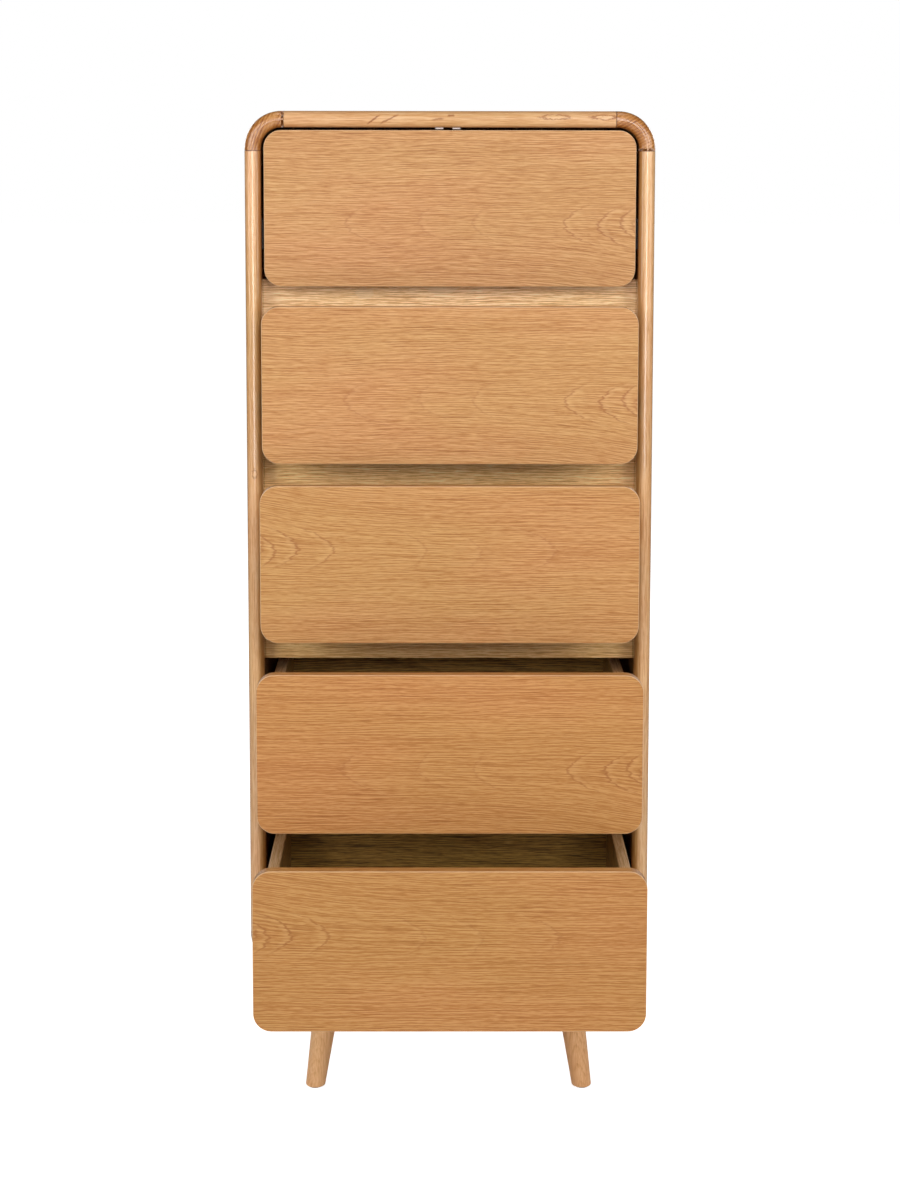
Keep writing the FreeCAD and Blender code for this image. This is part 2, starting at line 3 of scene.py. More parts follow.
import bpy
from mathutils import Matrix, Vector


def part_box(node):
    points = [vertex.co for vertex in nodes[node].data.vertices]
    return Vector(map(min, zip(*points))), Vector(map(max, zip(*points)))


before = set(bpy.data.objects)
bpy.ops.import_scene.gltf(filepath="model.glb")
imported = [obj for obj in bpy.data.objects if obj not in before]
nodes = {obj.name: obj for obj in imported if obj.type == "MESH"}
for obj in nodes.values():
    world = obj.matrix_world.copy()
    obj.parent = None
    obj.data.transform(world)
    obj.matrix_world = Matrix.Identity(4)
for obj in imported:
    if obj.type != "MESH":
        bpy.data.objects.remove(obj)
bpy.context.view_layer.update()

AXES = {"X": 0, "Y": 1, "Z": 2}
CREASE_ANGLE = math.radians(32)  # edges sharper than this stay sharp in the shading
CORNER_RADIUS = 0.054  # rounding of the case's corners, on the outside
DRAWERS = range(1, 6)
RAILS = range(1, 5)

# ---------------------------------------------------------------- small helpers


def srgb(red, green, blue):
    """A colour as it looks on a screen (0 to 255 each), as the linear colour that shaders take."""

    def linear(value):
        share = value / 255
        return share / 12.92 if share <= 0.04045 else ((share + 0.055) / 1.055) ** 2.4

    return (linear(red), linear(green), linear(blue), 1.0)


def middle_of(node):
    """The middle of a CAD node's box."""
    low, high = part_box(node)
    return (low + high) / 2


class Graph:
    """A material's node graph, with short calls for the nodes that the materials here use."""

    def __init__(self, name):
        self.material = bpy.data.materials.new(name)
        self.material.use_nodes = True
        self.tree = self.material.node_tree
        self.shader = self.tree.nodes["Principled BSDF"]
        self.place = self.split(self.tree.nodes.new("ShaderNodeTexCoord").outputs["Object"])

    def normal(self, axis):
        """How far the surface faces along an axis, -1 to 1."""
        geometry = self.tree.nodes.new("ShaderNodeNewGeometry")
        return self.split(geometry.outputs["Normal"])[AXES[axis]]

    def put(self, socket, value):
        """Links a socket, or sets it to a plain value."""
        if isinstance(value, bpy.types.NodeSocket):
            self.tree.links.new(value, socket)
        else:
            socket.default_value = value

    def math(self, operation, *values, clamp=False):
        node = self.tree.nodes.new("ShaderNodeMath")
        node.operation = operation
        node.use_clamp = clamp
        for socket, value in zip(node.inputs, values):
            self.put(socket, value)
        return node.outputs[0]

    def far(self, value, place):
        """How far a value is from a place, to either side."""
        return self.math("ABSOLUTE", self.math("SUBTRACT", value, place))

    def reach(self, first, second):
        """The length of a step made of two steps at right angles."""
        squares = self.math("ADD", self.math("POWER", first, 2.0), self.math("POWER", second, 2.0))
        return self.math("SQRT", squares)

    def split(self, vector):
        node = self.tree.nodes.new("ShaderNodeSeparateXYZ")
        self.put(node.inputs[0], vector)
        return list(node.outputs)

    def join(self, x, y, z):
        node = self.tree.nodes.new("ShaderNodeCombineXYZ")
        for socket, value in zip(node.inputs, (x, y, z)):
            self.put(socket, value)
        return node.outputs[0]

    def noise(self, parts, per_metre, detail=2.0, rough=0.5, seed=0.0):
        """Noise with its own fineness, per metre, along each of three coordinates. 0 to 1."""
        scaled = [self.math("MULTIPLY_ADD", p, s, seed) for p, s in zip(parts, per_metre)]
        node = self.tree.nodes.new("ShaderNodeTexNoise")
        node.inputs["Scale"].default_value = 1.0
        node.inputs["Detail"].default_value = detail
        node.inputs["Roughness"].default_value = rough
        self.put(node.inputs["Vector"], self.join(*scaled))
        return node.outputs["Fac"]

    def swing(self, value, size):
        """Noise as a swing of that size to both sides of zero."""
        return self.math("MULTIPLY", self.math("SUBTRACT", value, 0.5), size)

    def span(self, value, low, high, to_low=0.0, to_high=1.0):
        """Carries the span from low to high over to another, and stays within it."""
        node = self.tree.nodes.new("ShaderNodeMapRange")
        for socket, number in zip(node.inputs, (value, low, high, to_low, to_high)):
            self.put(socket, number)
        return node.outputs[0]

    def ramp(self, value, stops):
        """The colour at a value, between stops that are each a position and a colour."""
        node = self.tree.nodes.new("ShaderNodeValToRGB")
        elements = node.color_ramp.elements
        while len(elements) < len(stops):
            elements.new(0.5)
        for element, (position, colour) in zip(elements, stops):
            element.position = position
            element.color = colour
        self.put(node.inputs[0], value)
        return node.outputs[0]

    def mix(self, factor, first, second, blend="MIX"):
        node = self.tree.nodes.new("ShaderNodeMix")
        node.data_type = "RGBA"
        node.blend_type = blend
        self.put(node.inputs[0], factor)
        self.put(node.inputs[6], first)
        self.put(node.inputs[7], second)
        return node.outputs[2]

    def tinted(self, colour, tint):
        return self.mix(1.0, colour, tint, "MULTIPLY")

    def bump(self, height, strength, distance):
        node = self.tree.nodes.new("ShaderNodeBump")
        node.inputs["Strength"].default_value = strength
        node.inputs["Distance"].default_value = distance
        self.put(node.inputs["Height"], height)
        self.put(self.shader.inputs["Normal"], node.outputs[0])

    def finish(self, colour, roughness, **constants):
        self.put(self.shader.inputs["Base Color"], colour)
        self.put(self.shader.inputs["Roughness"], roughness)
        for name, value in constants.items():
            self.shader.inputs[name.replace("_", " ")].default_value = value
        return self.material


# ---------------------------------------------------------------- oak

# Tones of lacquered oak, from its darkest pores to its palest streaks.
HONEY = [
    (0.0, srgb(160, 97, 48)),
    (0.35, srgb(187, 127, 73)),
    (0.6, srgb(204, 146, 91)),
    (1.0, srgb(224, 175, 123)),
]
STRAW = [
    (0.0, srgb(182, 134, 84)),
    (0.35, srgb(210, 166, 112)),
    (0.6, srgb(226, 186, 134)),
    (1.0, srgb(243, 212, 166)),
]
# Darker, yellower tones for the drawer boxes, deepened to paint the shade inside the drawers.
OLIVE = [
    (0.0, srgb(96, 74, 42)),
    (0.35, srgb(134, 106, 64)),
    (0.6, srgb(160, 129, 82)),
    (1.0, srgb(188, 158, 108)),
]
BLOND = [
    (0.0, srgb(184, 124, 72)),
    (0.35, srgb(212, 160, 106)),
    (0.6, srgb(228, 182, 132)),
    (1.0, srgb(243, 209, 168)),
]
TAWNY = [
    (0.0, srgb(134, 76, 34)),
    (0.35, srgb(170, 107, 54)),
    (0.6, srgb(191, 130, 73)),
    (1.0, srgb(218, 165, 112)),
]
UMBER = srgb(96, 54, 26)  # glue lines
RUSSET = srgb(168, 104, 60)  # clear rings
CHESTNUT = srgb(142, 78, 24)  # mineral streaks
KNOT_BROWN = srgb(150, 88, 40)
KNOT_EYE = srgb(246, 214, 168)
PALE_WOOD = srgb(238, 190, 138)  # beside a clear ring
PALE_FLECK = srgb(240, 206, 160)
# The colour of the highlight painted on eased edges.
PAINTED_EDGE_LIGHT = srgb(250, 216, 174)
# Tints that multiply a colour to paint shade on the wood.
PAINTED_SHADE = (0.78, 0.70, 0.56, 1)
PAINTED_INNER_SHADE = (0.62, 0.52, 0.36, 1)


def oak(
    name,
    along,
    across,
    centre=(0, 0, 0),
    tones=HONEY,
    turned=False,
    pith=(-0.023, 0.06),
    slope=(0.06, 0.12),
    ring=0.0046,
    ring_depth=0.4,
    streak_depth=0.5,
    drift_depth=0.12,
    fan=0.0,
    arches=(),
    leaf=0.0,
    tint=(1, 1, 1, 1),
    gloss=0.42,
    coat=0.0,
    coat_blur=0.16,
    painted_edge_highlight=0.0,
    painted_round_shade=0.0,
    painted_shade_inward=None,
    painted_top_light=0.0,
    seams=(),
    marks=(),
):
    """Oak cut from a log, as a pattern that fills space, so that faces and edges of a board agree.

    along and across name the axes of the grain and of the board's width; centre is the board's middle.
    pith is where the middle of the log passes: across the board and below its face. slope says how the
    log leans along the grain (plainly, and more towards one end), which draws the arches of a
    flat-sawn board. ring is the width of a year's growth. fan spreads the lower fibres downwards
    towards that end. turned swaps the board end for end, and leaf moves the cut a little, so that
    boards from one log are alike but not the same. arches are the clearest rings of a flat-sawn face,
    each given by where its point lies (u, v) and how dark it is. marks are small figures in the wood.
    painted_edge_highlight is how strongly a highlight is painted on the eased edges, painted_round_shade how
    much shade is painted on the rounded ones, and painted_top_light how much light is painted on the upper
    edge; inward is the axis and direction of the board's face inside the case, where shade is painted too.
    """
    g = Graph(name)
    depth_axis = 3 - AXES[along] - AXES[across]
    from_middle = [g.math("SUBTRACT", at, middle) for at, middle in zip(g.place, centre)]
    way = -1.0 if turned else 1.0
    u = g.math("MULTIPLY", from_middle[AXES[along]], way)
    v = g.math("MULTIPLY", from_middle[AXES[across]], way)
    w = from_middle[depth_axis]
    place = (u, v, w)

    # The fibres wander a little from straight.
    bow = g.swing(g.noise(place, (4.0, 12.0, 12.0), 2.0, 0.5, 15.1 + leaf), 0.010)
    fibre = g.math("ADD", v, bow)
    if fan:
        fan_start = -0.02
        reach = g.math("MAXIMUM", g.math("SUBTRACT", u, fan_start), 0.0)
        spread = g.math("MULTIPLY", g.math("POWER", reach, 2.0), fan)
        fibre = g.math("MULTIPLY_ADD", spread, g.span(v, -0.07, 0.0, 1.0, 0.0), fibre)
    threads = (u, fibre, w)

    # The log's growth rings, bent by slow wander and frayed by the pores that cross them.
    wander = g.swing(g.noise(place, (5.0, 14.0, 14.0), 2.0, 0.5, 9.7 + leaf), 0.009)
    fray = g.swing(g.noise(threads, (25.0, 280.0, 280.0), 2.0, 0.6, 1.7 + leaf), 0.0026)
    from_pith = g.math("SUBTRACT", fibre, pith[0])
    lean = g.math("MULTIPLY", g.math("MULTIPLY_ADD", u, slope[1], slope[0]), u)
    below = g.math("SUBTRACT", g.math("ADD", wander, pith[1] + leaf * 0.002), lean)
    below = g.math("SUBTRACT", below, w)
    radius = g.math("ADD", g.reach(from_pith, below), fray)
    year = g.math("FRACT", g.math("DIVIDE", radius, ring))
    early = g.ramp(
        year,
        [(0.0, (1, 1, 1, 1)), (0.12, (0.6, 0.6, 0.6, 1)), (0.26, (0.12, 0.12, 0.12, 1)),
         (0.94, (0, 0, 0, 1)), (1.0, (1, 1, 1, 1))],
    )
    # Years differ: some rings show clearly, others hardly at all.
    shown = g.span(g.noise(place, (3.0, 22.0, 22.0), 1.0, 0.5, 5.3 + leaf), 0.36, 0.6, 0.15, 1.0)
    near = g.span(g.math("ABSOLUTE", from_pith), 0.015, 0.07, 1.0, 0.5)
    rings = g.math("MULTIPLY", g.math("MULTIPLY", early, shown), g.math("MULTIPLY", near, ring_depth))

    # Pores: short dark dashes along the fibres, long and short ones together.
    long_fineness, long_seed = (18.0, 700.0, 700.0), 2.9 + leaf
    long_dashes = g.noise(threads, long_fineness, 1.0, 0.5, long_seed)
    short_dashes = g.noise(threads, (60.0, 1050.0, 1050.0), 1.0, 0.6, 6.1 + leaf)
    dashes = g.math("MULTIPLY", g.math("ADD", long_dashes, short_dashes), 0.5)
    # A long dash has paler wood right beside it.
    dash_width = 0.0017
    beside = g.noise((u, g.math("ADD", fibre, dash_width), w), long_fineness, 1.0, 0.5, long_seed)
    dashes = g.math("SUBTRACT", dashes, g.swing(beside, 0.42))
    bands = g.noise(threads, (4.0, 130.0, 130.0), 1.0, 0.5, 4.5 + leaf)
    dashes = g.math("ADD", dashes, g.swing(bands, 0.17))
    dashes = g.span(dashes, 0.4, 0.6)
    fine = g.span(g.noise(threads, (170.0, 2300.0, 2300.0), 2.0, 0.6, 8.1 + leaf), 0.54, 0.74)
    streaks = g.math("MULTIPLY", g.math("SUBTRACT", dashes, 0.5), streak_depth)
    fine_dark = g.math("MULTIPLY", fine, streak_depth * 0.4)
    # A few pores run together into longer, clearly darker streaks.
    strong = g.noise(threads, (11.0, 400.0, 400.0), 1.0, 0.5, 17.3 + leaf)
    strong = g.math("MULTIPLY", g.span(strong, 0.60, 0.72), streak_depth * 0.5)

    drift = g.swing(g.noise(place, (2.4, 15.0, 15.0), 2.0, 0.5, 7.7 + leaf), drift_depth * 2)
    plain_tone = 0.62
    tone = g.math("ADD", g.math("ADD", streaks, drift), plain_tone)
    tone = g.math("SUBTRACT", tone, g.math("ADD", rings, strong))
    tone = g.math("SUBTRACT", tone, fine_dark, clamp=True)
    colour = g.ramp(tone, tones)

    for number, (arch_u, arch_v, depth) in enumerate(arches):
        colour = arch(g, place, colour, arch_u, arch_v, depth, leaf + number)

    # A slow change between rosier and yellower wood.
    hue = g.span(g.noise(place, (3.0, 9.0, 9.0), 2.0, 0.5, 12.3 + leaf), 0.35, 0.65)
    rosy = g.tinted(colour, (1.04, 0.975, 1.0, 1))
    amber = g.tinted(colour, (1.0, 0.995, 0.95, 1))
    colour = g.tinted(g.mix(hue, rosy, amber), tint)

    for figure in marks:
        colour = figure(g, colour)
    facing = g.math("ABSOLUTE", g.normal("Y"))
    if painted_edge_highlight:
        # A highlight painted along the eased edges, where they catch the light.
        eased = g.math("MULTIPLY", g.span(facing, 0.45, 0.97, painted_edge_highlight, 0.0), g.span(facing, 0.2, 0.5))
        colour = g.mix(eased, colour, PAINTED_EDGE_LIGHT)
    if painted_round_shade:
        # Painted shade: the boards' faces and rounded edges are darker than their front edge, where they
        # turn from the light.
        colour = g.mix(g.span(facing, 0.5, 0.96, painted_round_shade, 0.0), colour, g.tinted(colour, PAINTED_SHADE))
    if painted_shade_inward:
        # Painted shade, deeper still, on the side of the board that faces into the case.
        axis, sign = painted_shade_inward
        painted_inner_share = g.span(g.math("MULTIPLY", g.normal(axis), sign), 0.05, 0.6)
        colour = g.mix(painted_inner_share, colour, g.tinted(colour, PAINTED_INNER_SHADE))
    if painted_top_light:
        # Painted light: faces that turn upwards are paler, as if lit from above.
        painted_top_share = g.span(g.normal("Z"), 0.3, 0.8, 0.0, painted_top_light)
        colour = g.mix(painted_top_share, colour, g.ramp(tone, BLOND))
    colour = with_seams(g, colour, seams)

    relief = g.math("SUBTRACT", dashes, g.math("ADD", g.math("MULTIPLY", fine, 0.6), rings))
    g.bump(relief, 0.14, 0.0005)
    rough = g.math("MULTIPLY_ADD", dashes, -0.08, gloss + 0.06)
    return g.finish(colour, rough, Specular_IOR_Level=0.4, Coat_Weight=coat, Coat_Roughness=coat_blur)


def arch(g, place, colour, arch_u, arch_v, depth, seed):
    """One ring's arch on a flat-sawn face: a thin zigzag line across the grain, whose limbs bend back
    along it, with paler wood inside."""
    u, v, _ = place
    beside = g.math("SUBTRACT", v, arch_v)
    zigzag = g.swing(g.noise(place, (30.0, 230.0, 230.0), 3.0, 0.65, 21.0 + seed), 0.024)
    bend = 44.0
    back = g.math("MULTIPLY_ADD", g.math("POWER", beside, 2.0), bend, zigzag)
    off = g.math("SUBTRACT", g.math("SUBTRACT", u, arch_u), back)
    above, below = g.span(beside, 0.012, 0.032, 1.0, 0.0), g.span(beside, -0.048, -0.02)
    limbs = g.math("MULTIPLY", below, above)
    line = g.span(g.math("ABSOLUTE", off), 0.0004, 0.0032, depth, 0.0)
    pale_at = 0.006
    pale = g.span(g.far(off, pale_at), 0.002, 0.006, depth * 0.28, 0.0)
    colour = g.mix(g.math("MULTIPLY", pale, limbs), colour, PALE_WOOD)
    return g.mix(g.math("MULTIPLY", line, limbs), colour, RUSSET)


def with_seams(g, colour, seams):
    """The thin dark glue lines where boards meet."""
    uneven = g.noise(g.place, (160.0, 160.0, 160.0), 2.0, 0.5, 33.0)
    for axis, position in seams:
        away = g.far(g.place[AXES[axis]], position)
        width = g.span(uneven, 0.3, 0.7, 0.0008, 0.0016)
        dark = g.span(g.math("DIVIDE", away, width), 0.4, 1.0, 0.72, 0.0)
        colour = g.mix(dark, colour, UMBER)
    return colour


def streak(start, end, width, depth):
    """A dark mineral streak between two points of the front edge, each given as x and z."""
    length = math.dist(start, end)
    way_x, way_z = (end[0] - start[0]) / length, (end[1] - start[1]) / length

    def figure(g, colour):
        x, _, z = g.place
        dx, dz = g.math("SUBTRACT", x, start[0]), g.math("SUBTRACT", z, start[1])
        on = g.math("ADD", g.math("MULTIPLY", dx, way_x), g.math("MULTIPLY", dz, way_z))
        off = g.math("SUBTRACT", g.math("MULTIPLY", dz, way_x), g.math("MULTIPLY", dx, way_z))
        wobble = g.swing(g.noise(g.place, (260.0, 60.0, 260.0), 2.0, 0.6, 3.0), 0.003)
        off = g.math("ABSOLUTE", g.math("ADD", off, wobble))
        past = g.far(on, length / 2)
        in_width = g.span(off, width * 0.3, width, 1.0, 0.0)
        in_length = g.span(past, length * 0.3, length * 0.55, 1.0, 0.0)
        inside = g.math("MULTIPLY", in_width, in_length)
        return g.mix(g.math("MULTIPLY", inside, depth), colour, CHESTNUT)

    return figure


def oval(g, centre, half_size):
    """The way out of an oval on the front edge: 0 in its middle, 1 on its outline."""
    x, _, z = g.place
    dx = g.math("DIVIDE", g.math("SUBTRACT", x, centre[0]), half_size[0])
    dz = g.math("DIVIDE", g.math("SUBTRACT", z, centre[1]), half_size[1])
    return g.reach(dx, dz)


def knot(centre, half_size, depth):
    """The wavy outline of a small pin knot in the front edge, with a paler eye."""

    def figure(g, colour):
        wobble = g.swing(g.noise(g.place, (170.0, 40.0, 480.0), 2.0, 0.6, 5.0), 1.7)
        out = g.math("ADD", oval(g, centre, half_size), wobble)
        eye = g.mix(g.span(out, 0.5, 1.0, 0.16, 0.0), colour, KNOT_EYE)
        line = g.span(g.far(out, 1.0), 0.08, 0.34, depth, 0.0)
        return g.mix(line, eye, KNOT_BROWN)

    return figure


def pale_patch(centre, half_size):
    """A small paler patch with a soft outline."""

    def figure(g, colour):
        wobble = g.swing(g.noise(g.place, (90.0, 40.0, 200.0), 2.0, 0.6, 9.0), 0.6)
        out = g.math("ADD", oval(g, centre, half_size), wobble)
        return g.mix(g.span(out, 0.9, 1.05, 0.45, 0.0), colour, PALE_FLECK)

    return figure


# ---------------------------------------------------------------- metal, felt and rubber


def shaded(colour, factor, lift=0.0):
    """The same colour, darker or lighter."""
    return tuple(min(c * factor + lift, 1.0) for c in colour[:3]) + (1,)


def metal(name, colour, roughness):
    """Plated steel with faint rolling lines and a little mottling."""
    g = Graph(name)
    lines = g.noise(g.place, (900.0, 12.0, 900.0), 2.0, 0.5, 4.4)
    spots = g.noise(g.place, (60.0, 60.0, 60.0), 3.0, 0.6, 8.8)
    tone = g.math("ADD", g.swing(lines, 0.25), g.swing(spots, 0.3))
    share = g.math("ADD", tone, 0.5, clamp=True)
    g.bump(lines, 0.05, 0.0002)
    rough = g.math("MULTIPLY_ADD", spots, 0.2, roughness - 0.1)
    return g.finish(g.mix(share, shaded(colour, 0.72), colour), rough, Metallic=1.0)


def coated_steel(name, colour):
    """Powder coat: dark, slightly pebbled."""
    g = Graph(name)
    pebbles = g.noise(g.place, (1400.0, 1400.0, 1400.0), 2.0, 0.5, 2.2)
    wide = g.noise(g.place, (40.0, 40.0, 40.0), 2.0, 0.5, 5.5)
    g.bump(pebbles, 0.3, 0.0003)
    return g.finish(g.mix(wide, colour, shaded(colour, 1.7, 0.01)), g.span(pebbles, 0.3, 0.7, 0.45, 0.6))


def soft_pad(name, colour, fineness):
    """Felt or rubber: matt, with a fine mottled nap."""
    g = Graph(name)
    nap = g.noise(g.place, (fineness,) * 3, 4.0, 0.7, 3.3)
    g.bump(nap, 0.5, 0.0006)
    mottled = g.mix(g.span(nap, 0.35, 0.65), colour, shaded(colour, 1.5, 0.02))
    return g.finish(mottled, g.span(nap, 0.3, 0.7, 0.8, 0.95))


# ---------------------------------------------------------------- materials on the CAD nodes


def clothe(node, material):
    """Gives a CAD node its material, and smooth shading where its faces curve."""
    piece = nodes[node]
    piece.data.materials.clear()
    piece.data.materials.append(material)
    piece.data.shade_smooth()
    piece.data.set_sharp_from_angle(angle=CREASE_ANGLE)


def case_materials():
    block_low, block_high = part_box("corner_block_top_left")
    _, lower_block_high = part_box("corner_block_bottom_left")
    upright = [("Z", block_low.z), ("Z", lower_block_high.z)]
    level = [("X", block_high.x), ("X", -block_high.x)]
    top = block_high.z
    left_marks = [knot((-0.288, top - 0.533), (0.0035, 0.006), 0.5)]
    for number, side in enumerate(("left", "right")):
        node = f"{side}_side_panel"
        clothe(node, oak(
            node, "Z", "Y", middle_of(node), BLOND, pith=(-0.3 + 0.02 * number, 0.12), slope=(0.02, 0.01),
            ring=0.0042, ring_depth=0.3, streak_depth=0.36, leaf=20.0 + number, seams=upright,
            marks=left_marks if side == "left" else [], gloss=0.4, coat=1.0, coat_blur=0.09,
            painted_round_shade=0.7, painted_shade_inward=("X", 1 - 2 * number), tint=(0.99, 0.96, 0.9, 1)))
    top_marks = [
        streak((-0.121, top - 0.0195), (-0.102, top - 0.0055), 0.0017, 0.85),
        streak((-0.102, top - 0.0185), (-0.075, top - 0.0050), 0.0017, 0.75),
        streak((-0.027, top - 0.0130), (-0.009, top - 0.0105), 0.0021, 0.6),
        streak((-0.004, top - 0.0070), (0.007, top - 0.0065), 0.0020, 0.8),
        knot((0.152, top - 0.0085), (0.019, 0.0034), 0.7),
        knot((0.226, top - 0.0090), (0.017, 0.0030), 0.8),
    ]
    for number, node in enumerate(("top_panel", "bottom_panel")):
        clothe(node, oak(
            node, "X", "Y", middle_of(node), BLOND, pith=(-0.34 + 0.02 * number, 0.10), slope=(0.02, 0.01),
            ring=0.0042, ring_depth=0.3, streak_depth=0.36, leaf=30.0 + number, seams=level,
            marks=top_marks if node == "top_panel" else [], tint=(0.84, 0.785, 0.70, 1), gloss=0.45,
            coat=0.15, painted_round_shade=0.18))
    # The corner blocks show end grain at the front: rings that cross the face on a slant.
    slants = {"top_left": 68, "top_right": 28, "bottom_left": 70, "bottom_right": 30}
    for number, (corner, slant) in enumerate(slants.items()):
        node = f"corner_block_{corner}"
        low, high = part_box(node)
        arc_x = low.x + CORNER_RADIUS if low.x < 0 else high.x - CORNER_RADIUS
        arc_z = high.z - CORNER_RADIUS if corner.startswith("top") else low.z + CORNER_RADIUS
        clothe(node, end_grain(node, middle_of(node), (arc_x, arc_z), slant, 40.0 + number, upright + level))
    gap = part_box("drawer_2_front")[1].z
    top_rail_marks = [
        pale_patch((-0.126, gap + 0.012), (0.014, 0.009)),
        pale_patch((-0.012, gap + 0.017), (0.022, 0.007)),
    ]
    # Each rail's tint paints light and shade: lighter on the top rail, deeper and yellower on the rails
    # below, which the opened drawers above shade.
    rail_light_and_shade_tints = [(1.2, 1.22, 1.24, 1), (1.24, 1.2, 0.98, 1), (1.12, 1.08, 0.84, 1), (1.06, 1.05, 0.88, 1)]
    for number, tint in zip(RAILS, rail_light_and_shade_tints):
        node = f"divider_rail_{number}"
        clothe(node, oak(
            node, "X", "Z", middle_of(node), STRAW, pith=(0.1, 0.16), slope=(0.02, 0.01), ring=0.006,
            ring_depth=0.4, streak_depth=0.8, leaf=50.0 + number, tint=tint, gloss=0.5,
            marks=top_rail_marks if number == 1 else []))
    clothe("back_panel", oak(
        "back_panel", "Z", "X", middle_of("back_panel"), STRAW, pith=(0.04, 0.08), slope=(0.07, 0.05),
        ring=0.006, ring_depth=0.3, streak_depth=0.4, leaf=60.0, gloss=0.5, tint=(0.94, 0.92, 0.88, 1)))
    clothe("case_dowels", oak("case_dowels", "X", "Z", tones=STRAW, leaf=61.0, gloss=0.6))


def end_grain(name, centre, arc, slant, leaf, seams):
    """End grain: growth rings nearly straight across the face at a slant, with pores along them.

    arc is the middle of the corner's rounding, as x and z: painted shade darkens the wood a little towards
    it.
    """
    g = Graph(name)
    x, y, z = g.place
    cosine, sine = math.cos(math.radians(slant)), math.sin(math.radians(slant))
    dx = g.math("SUBTRACT", x, centre[0])
    dz = g.math("SUBTRACT", z, centre[2])
    lengthwise = g.math("ADD", g.math("MULTIPLY", dx, cosine), g.math("MULTIPLY", dz, sine))
    crosswise = g.math("SUBTRACT", g.math("MULTIPLY", dz, cosine), g.math("MULTIPLY", dx, sine))
    place = (lengthwise, crosswise, y)
    bend = g.math("MULTIPLY", g.math("POWER", lengthwise, 2.0), 2.4)
    wander = g.swing(g.noise(place, (22.0, 34.0, 3.0), 2.0, 0.5, leaf), 0.006)
    radius = g.math("ADD", g.math("ADD", crosswise, bend), wander)
    ring = 0.0044
    year = g.math("FRACT", g.math("DIVIDE", g.math("ADD", radius, 1.0), ring))
    early = g.ramp(
        year,
        [(0.0, (1, 1, 1, 1)), (0.3, (0.5, 0.5, 0.5, 1)), (0.7, (0.05, 0.05, 0.05, 1)), (1.0, (1, 1, 1, 1))],
    )
    shown = g.span(g.noise(place, (10.0, 90.0, 2.0), 1.0, 0.5, leaf + 2), 0.35, 0.65, 0.3, 1.0)
    rings = g.math("MULTIPLY", g.math("MULTIPLY", early, shown), 0.62)
    pores = g.span(g.noise(place, (190.0, 620.0, 14.0), 3.0, 0.6, leaf + 4), 0.36, 0.66)
    drift = g.swing(g.noise(place, (14.0, 40.0, 4.0), 2.0, 0.5, leaf + 6), 0.5)
    plain_tone = 0.78
    tone = g.math("ADD", g.math("ADD", g.swing(pores, 0.34), drift), plain_tone)
    tone = g.math("SUBTRACT", tone, rings, clamp=True)
    colour = g.tinted(g.ramp(tone, TAWNY), (0.95, 0.93, 0.78, 1))
    # Away from the front the block shows paler long grain.
    facing = g.math("ABSOLUTE", g.normal("Y"))
    colour = g.mix(g.span(facing, 0.1, 0.4, 0.7, 0.0), colour, g.ramp(tone, BLOND))
    # Painted shade: darker towards the middle of the corner's rounding, and on the rounded front faces that
    # turn from the light.
    from_arc = g.reach(g.math("SUBTRACT", x, arc[0]), g.math("SUBTRACT", z, arc[1]))
    colour = g.mix(g.span(from_arc, 0.031, 0.046, 0.95, 0.0), colour, g.tinted(colour, PAINTED_SHADE))
    colour = g.mix(g.span(facing, 0.5, 0.96, 0.4, 0.0), colour, g.tinted(colour, PAINTED_SHADE))
    colour = with_seams(g, colour, seams)
    g.bump(pores, 0.14, 0.0005)
    rough = g.math("MULTIPLY_ADD", pores, -0.08, 0.4)
    return g.finish(colour, rough, Specular_IOR_Level=0.45, Coat_Weight=0.7, Coat_Roughness=0.12)


def drawer_materials():
    """The fronts are leaves of one log, each with a tint that paints shade, a little deeper the lower they
    stand.
    """
    front_shade_tints = [
        (0.875, 0.91, 0.86, 1), (0.865, 0.9, 0.82, 1), (0.835, 0.86, 0.73, 1), (0.78, 0.74, 0.55, 1),
        (0.75, 0.73, 0.54, 1),
    ]
    turned_fronts = (3, 5)  # end for end
    arches = [
        (0.168, -0.022, 0.6), (0.218, -0.024, 0.75), (0.250, -0.020, 0.7), (0.268, -0.026, 0.5),
        (0.034, -0.020, 0.28), (-0.045, -0.018, 0.24), (-0.150, -0.020, 0.36),
    ]
    for number, tint in zip(DRAWERS, front_shade_tints):
        node = f"drawer_{number}_front"
        clothe(node, oak(
            node, "X", "Z", middle_of(node), HONEY, turned=number in turned_fronts, fan=0.26,
            leaf=0.11 * number, ring_depth=0.1, drift_depth=0.09, arches=arches, tint=tint, painted_edge_highlight=1.0))
        # The drawer boxes have their own yellower wood, deepened further to paint the shade inside the
        # drawers; their upper edges get painted light.
        for place, side in enumerate(("left_side", "right_side")):
            node = f"drawer_{number}_{side}"
            clothe(node, oak(
                node, "Y", "Z", middle_of(node), OLIVE, pith=(0.06, 0.1), slope=(0.03, 0.02), ring=0.006,
                ring_depth=0.3, streak_depth=0.4, leaf=70.0 + number + place * 0.5,
                tint=(1.07, 0.95, 0.63, 1), gloss=0.5, painted_top_light=0.8))
        node = f"drawer_{number}_back"
        clothe(node, oak(
            node, "X", "Z", middle_of(node), OLIVE, pith=(0.08, 0.12), slope=(0.03, 0.02), ring=0.006,
            ring_depth=0.5, streak_depth=0.7, leaf=80.0 + number, tint=(1.06, 0.97, 0.5, 1), gloss=0.5))
        node = f"drawer_{number}_bottom"
        clothe(node, oak(
            node, "X", "Y", middle_of(node), OLIVE, pith=(0.1, 0.1), slope=(0.04, 0.02), ring=0.006,
            ring_depth=0.22, streak_depth=0.35, leaf=90.0 + number, tint=(1.06, 0.94, 0.6, 1), gloss=0.6))


